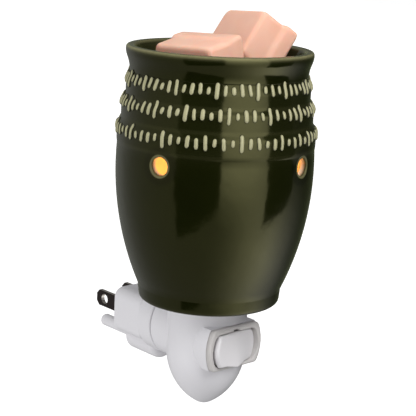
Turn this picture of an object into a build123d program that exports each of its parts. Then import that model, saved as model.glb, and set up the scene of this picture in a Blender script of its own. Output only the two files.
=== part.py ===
from build123d import *
import math
import os

os.makedirs("parts", exist_ok=True)

# Plug-in wax melt warmer. Origin: centre of the plug's wall face, on the line between
# the flat blades. +Y points into the wall, +Z up, millimetres.

# Plug blades and earth pin, as the common three-pin outlet takes them
blade_gap = 12.7
blade_thickness = 1.5
hot_blade_width = 6.35
neutral_blade_width = 7.94
blade_length = 16.5
blade_hole_d = 4.0
blade_hole_setback = 5.0
blade_nose = 1.6
blade_tail = 5.7
earth_drop = 11.9
earth_pin_d = 4.8
earth_pin_length = 20.5

# Plug head: a rounded block, a lobe round the earth pin and a round collar
head_width = 24.2
head_height = 17.8
head_depth = 17.2
head_corner_r = 4.0
head_edge_r = 2.2
head_wall = 2.4
lobe_r = 5.8
lobe_end_r = 3.0
face_plate = 2.6
collar_r = 13.3
collar_length = 7.4
collar_edge_r = 0.6

# Swivel between the plug head and the arm
swivel_gap = 0.35
spindle_r = 6.5
spindle_wall = 2.3
running_gap = 0.06
slot_play = 0.08
clip_thickness = 1.2
clip_r = 9.0

# Housing: arm, column with the pointed drop below, and the switch box
reach = 42.0
column_r = 14.8
housing_wall = 2.4
drop_top = 6.1
drop_depth = 21.6
drop_nose_r = 5.9
floor_share = 0.4
screw_share = 0.6
screw_r = 1.6
screw_head_r = 3.0
screw_head_height = 1.8
screw_length = 15.0

# Shade seat and lamp holder
seat_play = 0.6
floor_hole_r = 17.0
tab_width = 3.0
tab_thickness = 0.5
tab_length = 4.0
foot_rise = 13.9
seat_r = 21.4
seat_thickness = 2.5
seat_boss_height = 2.5
seat_spigot = 3.0
holder_r = 8.8
holder_above = 11.5
holder_below = 7.0
holder_flange = 2.0
holder_floor = 1.8
lamp_thread_r = 5.95
lamp_play = 0.08
shell_thickness = 0.4

# Lamp
lamp_length = 56.0
lamp_base_length = 16.5
lamp_r = 11.0
lamp_neck_r = 5.4
lamp_glass = 0.7
lamp_tip_r = 2.4
filament_r = 0.2
filament_sides = 6

# Ceramic shade, heights from its foot
shade_height = 92.3
shade_wall = 3.2
foot_r = 26.4
foot_recess = 4.0
floor_thickness = 3.5
belly_r = 35.9
belly_height = 50.0
rib_radii = (35.8, 34.5, 33.1)
rib_bottoms = (58.6, 66.8, 74.8)
rib_tops = (64.4, 72.7, 80.1)
belly_curve_r = 110.0
belly_top = 57.5
foot_band = 5.3
foot_edge_r = 0.8
foot_ring = 4.0
cavity_corner_r = 4.0
dish_floor_r = 20.0
waist_r = 31.8
waist_height = 84.0
lip_r = 33.5
lip_height = 2.6
lip_width = 3.2
lip_round = 1.5
dish_depth = 17.0
dish_side_r = 28.0
dish_corner_rise = 6.0
vent_r = 3.3
vent_height = 53.6
vent_turn = 15.8
vent_count = 4

# Raised dashes in three rows
dash_count = 58
dash_rhythm = "mslmsmmlsmslmmsmlsm"
dash_shift = 7
dash_point = 1.2
dash_width = 1.25
dash_relief = 0.55
dash_gap = 0.05
dash_rows = (62.9, 72.2, 80.5)
dash_lengths = {"s": 3.4, "m": 4.9, "l": 6.6}

# Wax melts: a tapered block on a wider slab
wax_long = 29.0
wax_short = 21.0
wax_slab = 6.2
wax_block = 10.5
wax_step = 1.7
wax_taper = 1.0
wax_round = 1.5
wax_gap = 0.3
wax_front_spot = (-10.4, -2.7)
wax_front_long = (0.13, -0.99, 0.0)
wax_front_axis = (-0.98, -0.13, -0.06)
wax_back_spot = (16.5, 0.7)
wax_back_rise = 15.7
wax_back_long = (-0.16, -0.99, 0.0)
wax_back_axis = (-0.86, 0.14, 0.5)

# Switch
switch_drop = 1.3
bezel_width = 21.8
bezel_bow = 2.0
bezel_height = 15.7
bezel_thickness = 2.2
bezel_reach = 16.4
switch_wall = 0.9
switch_depth = 11.5
rocker_r = 9.0
rocker_height = 11.0
rocker_gap = 0.35
rocker_sink = 1.6
rocker_roof = 2.7
rocker_wing = 1.7
rocker_dish = 0.45
rocker_skirt = 3.4
rocker_tilt = 8.0
trunnion_r = 1.3
trunnion_length = 0.7
lever_thickness = 0.5
lever_width = 4.0
lever_reach = 6.5
terminal_tail = 4.0
bezel_edge_r = 0.5

# Wiring
wire_r = 0.9
wire_bend = 1.8
wire_spread = 1.1
wire_run = 4.4

# Places worked out from the sizes above
fit_gap = 0.1
overrun = 1.0
axis_y = -reach
foot_z = foot_rise
seam_y = -(head_depth + collar_length)
arm_end_y = seam_y - swivel_gap
arm_wall_y = arm_end_y - housing_wall
drop_z = -drop_top
tip_z = drop_z - drop_depth
seat_z = foot_z + foot_recess
column_top = seat_z - seat_thickness
switch_z = -switch_drop
bezel_y = axis_y - bezel_reach


def made(part, name):
    """Name a finished piece and write it."""
    part.label = name
    export_step(part, f"parts/{name}.step")


def blade(name, x, width):
    """A flat brass blade with a rounded nose and the usual hole, its tail inside the head."""
    side = Plane.YZ.offset(x - blade_thickness / 2)
    with BuildPart() as strip:
        with BuildSketch(side):
            with Locations(((blade_length - blade_tail) / 2, 0)):
                Rectangle(blade_length + blade_tail, width)
        extrude(amount=blade_thickness)
        nose = strip.edges().filter_by(Axis.X).group_by(Axis.Y)[-1]
        chamfer(nose, blade_nose)
        with BuildSketch(side):
            with Locations((blade_length - blade_hole_setback, 0)):
                Circle(blade_hole_d / 2)
        extrude(amount=blade_thickness, mode=Mode.SUBTRACT)
    made(strip.part, name)


hot_x = -blade_gap / 2
neutral_x = blade_gap / 2
blade("hot_blade", hot_x, hot_blade_width)
blade("neutral_blade", neutral_x, neutral_blade_width)

# Plug head. The block faces the wall, the lobe under it carries the earth pin, and the
# collar behind turns against the arm. It is hollow from the wall side.
wall_plane = Plane.XZ
earth_z = -earth_drop
lobe_depth = head_depth + lobe_end_r / 2
plate_margin = head_edge_r + fit_gap
pocket_width = head_width - 2 * (plate_margin + head_wall / 2)
pocket_height = head_height - 2 * (plate_margin + head_wall / 2)
pocket_corner_r = head_corner_r / 2
pocket_depth = head_depth - face_plate
spindle_bore_r = spindle_r - spindle_wall
groove_y = arm_wall_y - running_gap
groove_r = spindle_r - spindle_wall / 3
groove_width = clip_thickness + running_gap
spindle_length = groove_width + swivel_gap + housing_wall + running_gap + clip_thickness


def face_outline(margin):
    """The head's outline on the wall, drawn in by a margin."""
    RectangleRounded(head_width - 2 * margin, head_height - 2 * margin, head_corner_r - margin / 2)
    with Locations((0, earth_z)):
        Circle(lobe_r - margin)
    with Locations((0, earth_z / 2)):
        Rectangle(2 * (lobe_r - margin), earth_drop)


with BuildPart() as lobe:
    with BuildSketch(wall_plane):
        with Locations((0, earth_z)):
            Circle(lobe_r)
        with Locations((0, earth_z / 2)):
            Rectangle(2 * lobe_r, earth_drop)
    extrude(amount=lobe_depth)
    fillet(lobe.edges().group_by(Axis.Y)[-1].filter_by(GeomType.CIRCLE), head_edge_r)
    fillet(lobe.edges().group_by(Axis.Y)[0].filter_by(GeomType.CIRCLE), lobe_end_r)

with BuildPart() as plug_head:
    with BuildSketch(wall_plane):
        RectangleRounded(head_width, head_height, head_corner_r)
    extrude(amount=head_depth)
    fillet(plug_head.edges().group_by(Axis.Y)[-1], head_edge_r)
    add(lobe.part)
    with BuildSketch(wall_plane.offset(head_depth)):
        Circle(collar_r)
    extrude(amount=collar_length)
    fillet(plug_head.edges().group_by(Axis.Y)[0], collar_edge_r)
    with BuildSketch(wall_plane.offset(-seam_y)):
        Circle(spindle_r)
    extrude(amount=spindle_length)
    with BuildSketch(wall_plane):
        face_outline(plate_margin)
    extrude(amount=face_plate, mode=Mode.SUBTRACT)
    with BuildSketch(wall_plane.offset(face_plate)):
        RectangleRounded(pocket_width, pocket_height, pocket_corner_r)
    extrude(amount=pocket_depth, mode=Mode.SUBTRACT)
    with BuildSketch(wall_plane):
        Circle(spindle_bore_r)
    extrude(amount=2 * reach, mode=Mode.SUBTRACT)
    with BuildSketch(wall_plane.offset(-groove_y)):
        Circle(spindle_r)
        Circle(groove_r, mode=Mode.SUBTRACT)
    extrude(amount=groove_width, mode=Mode.SUBTRACT)
made(plug_head.part, "plug_head")

# Face plate: closes the head on the wall side, holds the blades in slots and carries the
# plastic earth pin in one moulding.
with BuildPart() as plug_face:
    with BuildSketch(wall_plane):
        face_outline(plate_margin + fit_gap)
    extrude(amount=face_plate)
    with BuildSketch(wall_plane):
        with Locations((0, earth_z)):
            Circle(earth_pin_d / 2)
    extrude(amount=-earth_pin_length)
    fillet(plug_face.edges().group_by(Axis.Y)[-1], earth_pin_d / 3)
    with BuildSketch(wall_plane):
        with Locations((hot_x, 0)):
            Rectangle(blade_thickness + 2 * slot_play, hot_blade_width + 2 * slot_play)
        with Locations((neutral_x, 0)):
            Rectangle(blade_thickness + 2 * slot_play, neutral_blade_width + 2 * slot_play)
    extrude(amount=face_plate, mode=Mode.SUBTRACT)
made(plug_face.part, "plug_face")

# Retaining clip: an open ring in the spindle's groove that keeps the arm on the plug.
with BuildPart() as swivel_clip:
    with BuildSketch(wall_plane.offset(-groove_y + running_gap / 2)):
        Circle(clip_r)
        Circle(groove_r + fit_gap, mode=Mode.SUBTRACT)
        with Locations((0, -clip_r / 2)):
            Rectangle(spindle_r, clip_r, mode=Mode.SUBTRACT)
    extrude(amount=clip_thickness)
made(swivel_clip.part, "swivel_clip")

# Housing: the arm, the column with its pointed drop, and the box round the switch, split
# into a rear and a front half through the column's middle.
drop_r = (column_r**2 + (drop_depth - drop_nose_r) ** 2 - drop_nose_r**2) / (2 * (column_r - drop_nose_r))


def drop_touch(outer_r, flank_r, nose_r):
    """Where the flank's arc passes into the nose's, as a radius and a depth."""
    nose_depth = math.sqrt((flank_r - nose_r) ** 2 - (flank_r - outer_r) ** 2)
    share = flank_r / (flank_r - nose_r)
    return outer_r - flank_r + (flank_r - outer_r) * share, nose_depth * share


def drop_outline(outer_r, flank_r, nose_r, top):
    """Half the column's outline about its axis, down to the rounded point."""
    touch_r, touch_depth = drop_touch(outer_r, flank_r, nose_r)
    nose_depth = math.sqrt((flank_r - nose_r) ** 2 - (flank_r - outer_r) ** 2)
    half_depth = touch_depth / 2
    flank_mid = outer_r - flank_r + math.sqrt(flank_r**2 - half_depth**2)
    point = nose_depth + nose_r
    lean = math.atan2(touch_r, touch_depth - nose_depth) / 2
    nose_mid = (nose_r * math.sin(lean), nose_depth + nose_r * math.cos(lean))
    Line((0, top), (outer_r, top))
    Line((outer_r, top), (outer_r, drop_z))
    ThreePointArc((outer_r, drop_z), (flank_mid, drop_z - half_depth), (touch_r, drop_z - touch_depth))
    ThreePointArc((touch_r, drop_z - touch_depth), (nose_mid[0], drop_z - nose_mid[1]), (0, drop_z - point))
    Line((0, drop_z - point), (0, top))


def bezel_outline(width, height, bow):
    """The switch's outline: level top and bottom, sides bowed outward."""
    top = Line((-width / 2, height / 2), (width / 2, height / 2))
    ThreePointArc(top @ 1, (width / 2 + bow, 0), (width / 2, -height / 2))
    bottom = Line((width / 2, -height / 2), (-width / 2, -height / 2))
    ThreePointArc(bottom @ 1, (-width / 2 - bow, 0), top @ 0)


axis_plane = Plane(origin=(0, axis_y, 0), x_dir=(1, 0, 0), z_dir=(0, -1, 0))
switch_plane = Plane(origin=(0, axis_y, switch_z), x_dir=(1, 0, 0), z_dir=(0, -1, 0))
screw_z = drop_z - screw_share * drop_depth
screw_plane = Plane(origin=(0, axis_y + drop_nose_r, screw_z), x_dir=(-1, 0, 0), z_dir=(0, 1, 0))
turn_axis = Axis((0, axis_y, 0), (0, 0, 1))
inner_r = column_r - housing_wall
cavity_floor = drop_z - floor_share * drop_depth
spigot_z = column_top - seat_spigot
ledge_z = spigot_z - holder_flange
box_width = 2 * (rocker_r + rocker_gap + switch_wall)
box_height = rocker_height + 2 * (rocker_gap + switch_wall)

with BuildPart() as hollow:
    with BuildSketch(axis_plane):
        with BuildLine():
            drop_outline(inner_r, drop_r - housing_wall, drop_nose_r - housing_wall, column_top)
        make_face()
    revolve(axis=turn_axis)
    split(bisect_by=Plane.XY.offset(cavity_floor), keep=Keep.TOP)

with BuildPart() as housing:
    with BuildSketch(axis_plane):
        with BuildLine():
            drop_outline(column_r, drop_r, drop_nose_r, column_top)
        make_face()
    revolve(axis=turn_axis)
    with BuildSketch(wall_plane.offset(-arm_end_y)):
        Circle(collar_r)
    extrude(amount=arm_end_y - axis_y)
    fillet(housing.edges().group_by(Axis.Y)[-1], collar_edge_r)
    with BuildSketch(switch_plane):
        with BuildLine():
            bezel_outline(bezel_width, bezel_height, bezel_bow)
        make_face()
    extrude(amount=bezel_reach - bezel_thickness)
    with BuildSketch(wall_plane.offset(-arm_wall_y)):
        Circle(collar_r - housing_wall)
    extrude(amount=arm_wall_y - axis_y, mode=Mode.SUBTRACT)
    add(hollow.part, mode=Mode.SUBTRACT)
    with BuildSketch(Plane.XY.offset(ledge_z)):
        with Locations((0, axis_y)):
            Circle(inner_r)
            Circle(holder_r + rocker_gap, mode=Mode.SUBTRACT)
    extrude(amount=-housing_wall / 2)
    with BuildSketch(wall_plane.offset(-arm_end_y)):
        Circle(spindle_r + running_gap)
    extrude(amount=housing_wall + overrun, mode=Mode.SUBTRACT)
    with BuildSketch(switch_plane):
        Rectangle(box_width + 2 * fit_gap, box_height + 2 * fit_gap)
    extrude(amount=reach, mode=Mode.SUBTRACT)
    with BuildSketch(switch_plane.offset(bezel_reach - bezel_thickness)):
        with BuildLine():
            bezel_outline(bezel_width + 2 * fit_gap, bezel_height + 2 * fit_gap, bezel_bow)
        make_face()
    extrude(amount=reach, mode=Mode.SUBTRACT)
    with BuildSketch(screw_plane):
        Circle(screw_r)
    extrude(amount=-screw_length - fit_gap, mode=Mode.SUBTRACT)
    with BuildSketch(screw_plane):
        Circle(screw_head_r + fit_gap)
    extrude(amount=reach, mode=Mode.SUBTRACT)

# The two moulded halves meet in the column's middle plane.
with BuildPart() as rear_housing:
    add(housing.part)
    split(bisect_by=axis_plane, keep=Keep.BOTTOM)
made(rear_housing.part, "rear_housing")

with BuildPart() as front_housing:
    add(housing.part)
    split(bisect_by=axis_plane, keep=Keep.TOP)
made(front_housing.part, "front_housing")

# Housing screw, let in from the wall side under the arm.
with BuildPart() as housing_screw:
    with BuildSketch(screw_plane):
        Circle(screw_head_r)
    extrude(amount=screw_head_height)
    with BuildSketch(screw_plane):
        Circle(screw_r)
    extrude(amount=-screw_length)
made(housing_screw.part, "housing_screw")

# Seat ring: the plate that the shade's floor rests on, with a boss that centres it and a
# spigot pressed into the column. It also holds the lamp holder down.
boss_r = floor_hole_r - seat_play
with BuildPart() as seat_ring:
    with BuildSketch(Plane.XY.offset(column_top)):
        with Locations((0, axis_y)):
            Circle(seat_r)
    extrude(amount=seat_thickness)
    with BuildSketch(Plane.XY.offset(seat_z)):
        with Locations((0, axis_y)):
            Circle(boss_r)
    extrude(amount=seat_boss_height)
    fillet(seat_ring.edges().group_by(Axis.Z)[-1], seat_play)
    with BuildSketch(Plane.XY.offset(column_top)):
        with Locations((0, axis_y)):
            Circle(inner_r - fit_gap)
    extrude(amount=-seat_spigot)
    with BuildSketch(Plane.XY.offset(spigot_z)):
        with Locations((0, axis_y)):
            Circle(holder_r + fit_gap)
    extrude(amount=shade_height, mode=Mode.SUBTRACT)
made(seat_ring.part, "seat_ring")

# Lamp holder: an insulating barrel with a threaded shell, a centre contact and two tabs.
holder_z = foot_z - holder_below
holder_top = foot_z + holder_above
shell_r = lamp_thread_r + lamp_play + shell_thickness
holder_axis = Plane.XY.offset(holder_z).move(Location((0, axis_y, 0)))
contact_r = lamp_tip_r
tab_y = shell_r - tab_thickness

with BuildPart() as lamp_holder:
    with BuildSketch(holder_axis):
        Circle(holder_r)
    extrude(amount=holder_top - holder_z)
    fillet(lamp_holder.edges().group_by(Axis.Z)[-1], shell_thickness)
    with BuildSketch(holder_axis.offset(ledge_z - holder_z)):
        Circle(inner_r - fit_gap)
    extrude(amount=holder_flange)
    with BuildSketch(holder_axis.offset(holder_floor)):
        Circle(shell_r + fit_gap)
    extrude(amount=shade_height, mode=Mode.SUBTRACT)
    with BuildSketch(holder_axis):
        Rectangle(tab_width + 2 * fit_gap, tab_thickness + 2 * fit_gap)
        with Locations((0, tab_y)):
            Rectangle(tab_width + 2 * fit_gap, tab_thickness + 2 * fit_gap)
    extrude(amount=holder_floor, mode=Mode.SUBTRACT)
made(lamp_holder.part, "lamp_holder")

with BuildPart() as holder_shell:
    with BuildSketch(holder_axis.offset(holder_floor)):
        Circle(shell_r)
        Circle(shell_r - shell_thickness, mode=Mode.SUBTRACT)
    extrude(amount=holder_top - holder_z - holder_floor - shell_thickness)
    with BuildSketch(holder_axis.offset(holder_floor)):
        Circle(shell_r)
        Circle(shell_r / 2 + contact_r / 2, mode=Mode.SUBTRACT)
    extrude(amount=shell_thickness)
    with BuildSketch(holder_axis.offset(holder_floor)):
        with Locations((0, tab_y)):
            Rectangle(tab_width, tab_thickness)
    extrude(amount=-holder_floor - tab_length)
made(holder_shell.part, "holder_shell")

with BuildPart() as holder_contact:
    with BuildSketch(holder_axis.offset(holder_floor)):
        Circle(contact_r)
    extrude(amount=tab_thickness)
    with BuildSketch(holder_axis.offset(holder_floor)):
        Rectangle(tab_width, tab_thickness)
    extrude(amount=-holder_floor - tab_length)
made(holder_contact.part, "holder_contact")

# Lamp: a small screw-base bulb, its glass hollow, with stem, supports and filament.
lamp_z = holder_z + holder_floor + tab_thickness + running_gap
lamp_neck_z = lamp_z + lamp_base_length
lamp_top = lamp_z + lamp_length
lamp_origin = Plane.XY.offset(lamp_z).move(Location((0, axis_y, 0)))
tip_height = lamp_tip_r / 2
cone_height = lamp_thread_r / 3
lamp_shell_z = lamp_z + tip_height + cone_height
lamp_belly_z = lamp_top - lamp_r

with BuildPart() as lamp_tip:
    with BuildSketch(lamp_origin):
        Circle(lamp_tip_r)
    extrude(amount=tip_height)
    fillet(lamp_tip.edges().group_by(Axis.Z)[0], tip_height / 2)
made(lamp_tip.part, "lamp_tip")

with BuildPart() as lamp_insulator:
    with BuildSketch(lamp_origin.offset(tip_height)):
        Circle(lamp_tip_r)
    with BuildSketch(lamp_origin.offset(tip_height + cone_height)):
        Circle(lamp_thread_r - shell_thickness)
    loft()
made(lamp_insulator.part, "lamp_insulator")

with BuildPart() as lamp_base:
    with BuildSketch(lamp_origin.offset(lamp_shell_z - lamp_z)):
        Circle(lamp_thread_r)
    extrude(amount=lamp_neck_z - lamp_shell_z)
    with BuildSketch(lamp_origin.offset(lamp_shell_z - lamp_z + shell_thickness)):
        Circle(lamp_thread_r - shell_thickness)
    extrude(amount=lamp_length, mode=Mode.SUBTRACT)
made(lamp_base.part, "lamp_base")


def bulb_outline(neck_r, belly_r, low):
    """Half the glass's outline about the lamp's axis: neck, flank and round crown."""
    Line((0, low), (neck_r, low))
    Line((neck_r, low), (neck_r, lamp_neck_z))
    TangentArc((belly_r, lamp_belly_z), (neck_r, lamp_neck_z), tangent=(0, -1))
    TangentArc((belly_r, lamp_belly_z), (0, lamp_belly_z + belly_r), tangent=(0, 1))
    Line((0, lamp_belly_z + belly_r), (0, low))


glass_low = lamp_neck_z - lamp_neck_r
with BuildPart() as lamp_glass_shell:
    with BuildSketch(axis_plane):
        with BuildLine():
            bulb_outline(lamp_neck_r, lamp_r, glass_low)
        make_face()
    revolve(axis=turn_axis)
    with BuildSketch(axis_plane):
        with BuildLine():
            bulb_outline(lamp_neck_r - lamp_glass, lamp_r - lamp_glass, glass_low)
        make_face()
    revolve(axis=turn_axis, mode=Mode.SUBTRACT)
made(lamp_glass_shell.part, "lamp_glass")

stem_r = lamp_neck_r / 2
stem_top = lamp_neck_z + lamp_neck_r
with BuildPart() as lamp_stem:
    with BuildSketch(lamp_origin.offset(glass_low - lamp_z)):
        Circle(lamp_neck_r - lamp_glass - fit_gap)
    extrude(amount=lamp_glass)
    with BuildSketch(lamp_origin.offset(glass_low - lamp_z)):
        Circle(stem_r)
    extrude(amount=stem_top - glass_low)
    fillet(lamp_stem.edges().group_by(Axis.Z)[-1], stem_r / 3)
made(lamp_stem.part, "lamp_stem")

support_x = stem_r / 2
filament_z = (stem_top + lamp_belly_z) / 2
filament_half = lamp_r / 2
with BuildPart() as lamp_filament:
    with BuildLine():
        FilletPolyline(
            (-support_x, axis_y, stem_top),
            (-support_x, axis_y, (stem_top + filament_z) / 2),
            (-filament_half, axis_y, filament_z),
            (0, axis_y, filament_z + filament_half),
            (filament_half, axis_y, filament_z),
            (support_x, axis_y, (stem_top + filament_z) / 2),
            (support_x, axis_y, stem_top),
            radius=support_x,
        )
    with BuildSketch(Plane.XY.offset(stem_top).move(Location((-support_x, axis_y, 0)))):
        RegularPolygon(filament_r, filament_sides)
    sweep()
made(lamp_filament.part, "lamp_filament")

# Ceramic shade, glazed, in one piece. Its outline is drawn from the foot up the outside to
# the lip; the lamp's space, the dish and the vents are then cut from it.
belly_axis_r = belly_r - belly_curve_r
dish_z = shade_height - dish_depth
rim_inner_r = lip_r - lip_width
inner_low = foot_recess + floor_thickness
inner_top = dish_z - shade_wall


def up(height):
    """A height above the shade's foot, as a height of the whole."""
    return foot_z + height


def belly_point(inset, height):
    """A point of the belly's curve, drawn in by an inset."""
    drop = height - belly_height
    return belly_axis_r + math.sqrt((belly_curve_r - inset) ** 2 - drop**2), up(height)


def belly_arc(inset, low, high):
    """The belly's curve between two heights."""
    middle = (low + high) / 2
    return ThreePointArc(belly_point(inset, low), belly_point(inset, middle), belly_point(inset, high))


def rib_outline(shift):
    """The stepped ribs and the hollow neck under the lip, moved outward by a shift."""
    steps = []
    for radius, bottom, top in zip(rib_radii, rib_bottoms, rib_tops):
        steps += [(radius + shift, up(bottom)), (radius + shift, up(top))]
    Polyline(*steps)
    lip_foot = (lip_r + shift, up(shade_height - lip_height))
    ThreePointArc(steps[-1], (waist_r + shift, up(waist_height)), lip_foot)
    return steps[0], lip_foot


def around(turn, height):
    """A plane on the shade's axis that faces outward at a turn in degrees."""
    angle = math.radians(turn)
    outward = (math.cos(angle), math.sin(angle), 0)
    sideways = (-math.sin(angle), math.cos(angle), 0)
    return Plane(origin=(0, axis_y, up(height)), x_dir=sideways, z_dir=outward)


with BuildPart() as ceramic_shade:
    with BuildSketch(axis_plane):
        with BuildLine():
            Polyline((0, up(0)), (foot_r, up(0)), belly_point(0, foot_band))
            belly_arc(0, foot_band, belly_top)
            first_step, lip_foot = rib_outline(0)
            Line(belly_point(0, belly_top), first_step)
            Polyline(lip_foot, (lip_r, up(shade_height)), (0, up(shade_height)), (0, up(0)))
        make_face()
    revolve(axis=turn_axis)
    fillet(ceramic_shade.edges().group_by(Axis.Z)[0], foot_edge_r)
    with BuildSketch(Plane.XY.offset(foot_z)):
        with Locations((0, axis_y)):
            Circle(foot_r - foot_ring)
    extrude(amount=foot_recess, mode=Mode.SUBTRACT)
    with BuildSketch(Plane.XY.offset(foot_z)):
        with Locations((0, axis_y)):
            Circle(floor_hole_r)
    extrude(amount=inner_low, mode=Mode.SUBTRACT)
    with BuildSketch(axis_plane):
        with BuildLine():
            belly_arc(shade_wall, inner_low, belly_top)
            Polyline(
                belly_point(shade_wall, belly_top),
                (rib_radii[1] - shade_wall, up(rib_bottoms[1])),
                (rib_radii[1] - shade_wall, up(inner_top)),
                (0, up(inner_top)),
                (0, up(inner_low)),
                belly_point(shade_wall, inner_low),
            )
        make_face()
        fillet(vertices().group_by(Axis.Y)[-1].sort_by(Axis.X)[-1], cavity_corner_r)
    revolve(axis=turn_axis, mode=Mode.SUBTRACT)
    with BuildSketch(axis_plane):
        with BuildLine():
            Line((0, up(dish_z)), (dish_floor_r, up(dish_z)))
            corner_top = (dish_side_r, up(dish_z + dish_corner_rise))
            TangentArc((dish_floor_r, up(dish_z)), corner_top, tangent=(1, 0))
            Polyline(corner_top, (rim_inner_r, up(shade_height)), (0, up(shade_height)), (0, up(dish_z)))
        make_face()
    revolve(axis=turn_axis, mode=Mode.SUBTRACT)
    fillet(ceramic_shade.edges().group_by(Axis.Z)[-1], lip_round)
    with BuildSketch(*[around(vent_turn - 90 + 90 * k, vent_height) for k in range(vent_count)]):
        Circle(vent_r)
    extrude(amount=2 * belly_r, mode=Mode.SUBTRACT)
made(ceramic_shade.part, "ceramic_shade")

# Raised dashes of slip in three rows, each dash laid over the edge of a rib.
dash_turn = 360 / dash_count

with BuildPart() as dash_skin:
    with BuildSketch(Plane.XZ):
        with BuildLine():
            inner_start, inner_end = rib_outline(dash_gap)
            outer_start, outer_end = rib_outline(dash_gap + dash_relief)
            Line(inner_start, outer_start)
            Line(inner_end, outer_end)
        make_face()
    revolve(axis=Axis.Z)


def dash(height, length):
    """One long, pointed dash cut from the skin at a height."""
    half = length / 2 - dash_point
    with BuildPart() as grain:
        with BuildSketch(Plane(origin=(0, 0, up(height)), x_dir=(0, 1, 0), z_dir=(1, 0, 0))):
            Polygon(
                (dash_width / 2, -half),
                (dash_width / 2, half),
                (0, length / 2),
                (-dash_width / 2, half),
                (-dash_width / 2, -half),
                (0, -length / 2),
            )
        extrude(amount=2 * belly_r)
        add(dash_skin.part, mode=Mode.INTERSECT)
    return grain.part


dash_kinds = []
for row, height in enumerate(dash_rows):
    for letter, length in dash_lengths.items():
        dash_kinds.append((row, letter, dash(height, length)))

with BuildPart() as slip_dashes:
    for row, letter, grain in dash_kinds:
        places = []
        for index in range(dash_count):
            if dash_rhythm[(index + row * dash_shift) % len(dash_rhythm)] == letter:
                places.append(Location((0, axis_y, 0), (0, 0, dash_turn * (index + row / 2))))
        with Locations(*places):
            add(grain)
made(slip_dashes.part, "slip_dashes")


def wax_melt(spot, height, long_way, axis_way, name):
    """One melt: a slab with the tapered block of its mould, laid at a place in the dish."""
    place = Plane(origin=(spot[0], axis_y + spot[1], up(height)), x_dir=long_way, z_dir=axis_way)
    block_long = wax_long - 2 * wax_step
    block_short = wax_short - 2 * wax_step
    with BuildPart() as melt:
        with BuildSketch(place.offset(-wax_slab)):
            RectangleRounded(wax_long, wax_short, wax_round)
        extrude(amount=wax_slab)
        with BuildSketch(place):
            RectangleRounded(block_long, block_short, wax_round)
        with BuildSketch(place.offset(wax_block)):
            RectangleRounded(block_long - 2 * wax_taper, block_short - 2 * wax_taper, wax_round)
        loft()
        levels = melt.edges().group_by(Axis(place.origin, place.z_dir))
        fillet(levels[0] + levels[-1], wax_round / 2)
    made(melt.part, name)


wax_lean = abs(wax_front_axis[2])
wax_front_rise = wax_short / 2 * math.sqrt(1 - wax_lean**2)
wax_melt(wax_front_spot, dish_z + wax_gap + wax_front_rise, wax_front_long, wax_front_axis, "wax_melt_front")
wax_melt(wax_back_spot, dish_z + wax_back_rise, wax_back_long, wax_back_axis, "wax_melt_back")

# Switch: a frame that snaps into the housing's box, a rocker on two trunnions, a contact
# lever under the rocker and two terminals through the frame's back.
pivot_y = bezel_y + rocker_sink
well_width = 2 * (rocker_r + rocker_gap)
well_height = rocker_height + 2 * rocker_gap
box_back_y = bezel_y + switch_depth
lever_y = rocker_skirt + lever_thickness
frame_plane = Plane(origin=(0, bezel_y, switch_z), x_dir=(1, 0, 0), z_dir=(0, 1, 0))
tilt = math.radians(rocker_tilt)
rocker_plane = Plane(
    origin=(0, pivot_y, switch_z), x_dir=(math.cos(tilt), math.sin(tilt), 0), z_dir=(0, 0, 1)
)

with BuildPart() as switch_frame:
    with BuildSketch(switch_plane.offset(bezel_reach)):
        with BuildLine():
            bezel_outline(bezel_width, bezel_height, bezel_bow)
        make_face()
    extrude(amount=-bezel_thickness)
    fillet(switch_frame.edges().group_by(Axis.Y)[0], bezel_edge_r)
    with BuildSketch(frame_plane):
        Rectangle(box_width, box_height)
    extrude(amount=switch_depth)
    with BuildSketch(frame_plane):
        Rectangle(well_width, well_height)
    extrude(amount=switch_depth - switch_wall, mode=Mode.SUBTRACT)
    with BuildSketch(Plane.XY.offset(switch_z)):
        with Locations((0, pivot_y)):
            Circle(trunnion_r + running_gap)
    extrude(amount=box_height / 2, both=True, mode=Mode.SUBTRACT)
    with BuildSketch(frame_plane):
        with Locations((0, 0), (lever_reach - lever_thickness, 0)):
            Rectangle(lever_thickness + 2 * slot_play, lever_width + 2 * slot_play)
    extrude(amount=switch_depth, mode=Mode.SUBTRACT)
made(switch_frame.part, "switch_frame")

wing_x = math.sqrt(rocker_r**2 - rocker_wing**2)
skirt_x = math.sqrt(rocker_r**2 - rocker_skirt**2)
with BuildPart() as switch_rocker:
    with BuildSketch(rocker_plane):
        with BuildLine():
            ridge = (0, -rocker_roof)
            for side in (-1, 1):
                wing = (side * wing_x, -rocker_wing)
                dished = (side * wing_x / 2, -(rocker_roof + rocker_wing) / 2 + rocker_dish)
                ThreePointArc(ridge, dished, wing)
                ThreePointArc(wing, (side * rocker_r, 0), (side * skirt_x, rocker_skirt))
            Line((-skirt_x, rocker_skirt), (skirt_x, rocker_skirt))
        make_face()
    extrude(amount=rocker_height / 2, both=True)
    with BuildSketch(rocker_plane):
        Circle(trunnion_r)
    extrude(amount=rocker_height / 2 + trunnion_length, both=True)
made(switch_rocker.part, "switch_rocker")

with BuildPart() as rocker_contact:
    with BuildSketch(rocker_plane):
        with Locations((lever_reach / 2 - lever_thickness, rocker_skirt + lever_thickness / 2)):
            Rectangle(lever_reach, lever_thickness)
    extrude(amount=lever_width / 2, both=True)
made(rocker_contact.part, "rocker_contact")

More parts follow.
